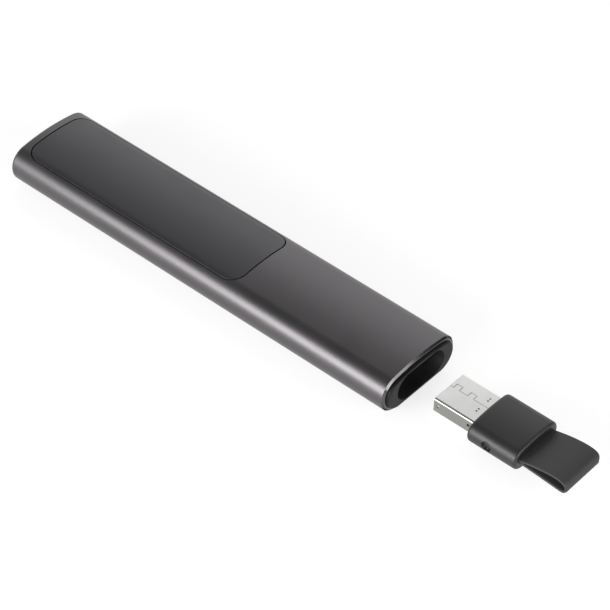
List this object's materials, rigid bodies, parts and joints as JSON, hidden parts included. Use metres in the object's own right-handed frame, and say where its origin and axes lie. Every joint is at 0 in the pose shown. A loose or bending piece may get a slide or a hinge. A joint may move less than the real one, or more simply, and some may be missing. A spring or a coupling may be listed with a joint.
{
  "type": "wireless presentation clicker",
  "caption": "Slim hand-held presentation clicker: metal body, long plastic back cover, press buttons, and a USB receiver with pull strap that docks in its end.",
  "frame": {"origin": "centre of the flat front (button) face, which the handset lies on", "axes": "+X along the handset towards its open end and the receiver, +Y across it, +Z from the front face to the back cover"},
  "size_m": [0.1815, 0.0282, 0.0121],
  "materials": {
    "anodised_shell": "satin anodised, fine brushed grain",
    "satin_plastic": "satin moulded",
    "cap_plastic": "fine matt moulded",
    "inner_plastic": "matt moulded",
    "button_plastic": "satin moulded",
    "ivory_plastic": "natural moulded",
    "plug_plastic": "natural moulded",
    "clear_plastic": "frosted clear",
    "spring_steel": "bright strip",
    "screw_steel": "black zinc",
    "port_steel": "nickel plated",
    "plug_steel": "bright nickel plated",
    "contact_gold": "gold flashed",
    "circuit_board": "solder resist",
    "battery_foil": "laminated foil pouch",
    "foam": "open-cell foam",
    "wire_sleeve": "soft insulation",
    "chip_black": "moulded package",
    "chip_ceramic": "fired",
    "collar_rubber": "soft-touch matt",
    "strap_rubber": "soft matt"
  },
  "bodies": {
    "handset": {"shell": "anodised_shell", "back_cover": "satin_plastic", "end_cap": "cap_plastic", "receiver_dock": "inner_plastic", "detent_springs": "spring_steel", "cap_screws": "screw_steel", "dock_screws": "screw_steel", "chassis": "inner_plastic", "chassis_screws": "screw_steel", "main_board": "circuit_board", "battery": "battery_foil", "battery_pad": "foam", "battery_connector": "ivory_plastic", "battery_leads": "wire_sleeve", "charging_port": "port_steel", "charging_port_tongue": "inner_plastic", "radio_processor": "chip_black", "radio_shield": "port_steel", "chip_antenna": "chip_ceramic", "crystal": "port_steel", "motion_sensor": "chip_black", "power_chips": "chip_black", "capacitors": "chip_ceramic", "vibration_motor": "port_steel", "tactile_switches": "inner_plastic", "status_led": "ivory_plastic", "light_pipe": "clear_plastic"},
    "pointer_key": {"pointer_button": "button_plastic", "pointer_plunger": "ivory_plastic"},
    "next_key": {"next_button": "button_plastic", "next_plunger": "ivory_plastic"},
    "back_key": {"back_button": "button_plastic", "back_plunger": "ivory_plastic"},
    "receiver": {"usb_plug_shell": "plug_steel", "usb_plug_tongue": "plug_plastic", "usb_contacts": "contact_gold", "receiver_board": "circuit_board", "receiver_chip": "chip_black", "receiver_collar": "collar_rubber", "strap_anchor": "strap_rubber"},
    "strap": {"pull_strap": "strap_rubber"}
  },
  "joints": [
    {"name": "pointer_press", "type": "slide", "parent": "handset", "child": "pointer_key", "axis": [0, 0, 1], "range_m": [0, 0.00035], "stiffness_N_per_m": 3000, "springref_m": -0.0001},
    {"name": "next_press", "type": "slide", "parent": "handset", "child": "next_key", "axis": [0, 0, 1], "range_m": [0, 0.00035], "stiffness_N_per_m": 3000, "springref_m": -0.0001},
    {"name": "back_press", "type": "slide", "parent": "handset", "child": "back_key", "axis": [0, 0, 1], "range_m": [0, 0.00035], "stiffness_N_per_m": 3000, "springref_m": -0.0001},
    {"name": "receiver_slide", "type": "slide", "parent": "handset", "child": "receiver", "axis": [1, 0, 0], "range_m": [-0.0363, 0]},
    {"name": "strap_flex", "type": "hinge", "parent": "receiver", "child": "strap", "pos_m": [0.10165, 0, 0.00605], "axis": [0, -1, 0], "range_deg": [-35, 35], "stiffness_Nm_per_rad": 0.002}
  ]
}
